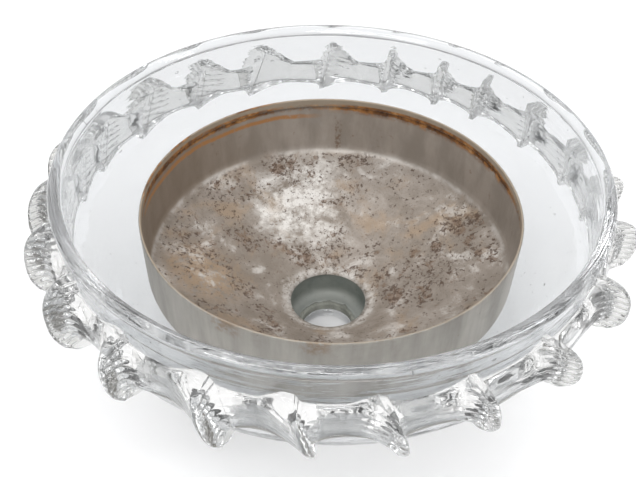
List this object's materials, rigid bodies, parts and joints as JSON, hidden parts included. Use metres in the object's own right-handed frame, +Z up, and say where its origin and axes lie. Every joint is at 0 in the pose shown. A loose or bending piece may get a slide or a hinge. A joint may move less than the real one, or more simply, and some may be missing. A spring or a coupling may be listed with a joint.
{
  "type": "glass uplighter bowl",
  "caption": "Heavy clear glass light bowl with a pinched ribbed ribbon round its neck and a loose spun steel reflector pan inside, standing on the cup that held the lamp.",
  "frame": {"origin": "centre of the ground foot, on the surface that the bowl stands on", "axes": "+Z up along the bowl's axis, front towards -Y"},
  "size_m": [0.5063, 0.5064, 0.1985],
  "materials": {
    "clear_glass": "clear, fire polished",
    "ribbon_glass": "clear, finely ribbed",
    "packing": "old and crumbling",
    "cup_metal": "dull grey-green",
    "pan_metal": "weathered, spotted and rusty at the hem"
  },
  "bodies": {
    "bowl": {"glass_bowl": "clear_glass", "ribbon_band": "ribbon_glass", "ribbon_folds": "ribbon_glass", "seating_ring": "packing"},
    "cup": {"lampholder_cup": "cup_metal"},
    "reflector": {"reflector_pan": "pan_metal"}
  },
  "joints": [
    {"name": "cup_lift", "type": "slide", "parent": "bowl", "child": "cup", "axis": [0, 0, 1], "range_m": [0, 0.2]},
    {"name": "reflector_lift", "type": "slide", "parent": "cup", "child": "reflector", "axis": [0, 0, 1], "range_m": [0, 0.17]}
  ]
}
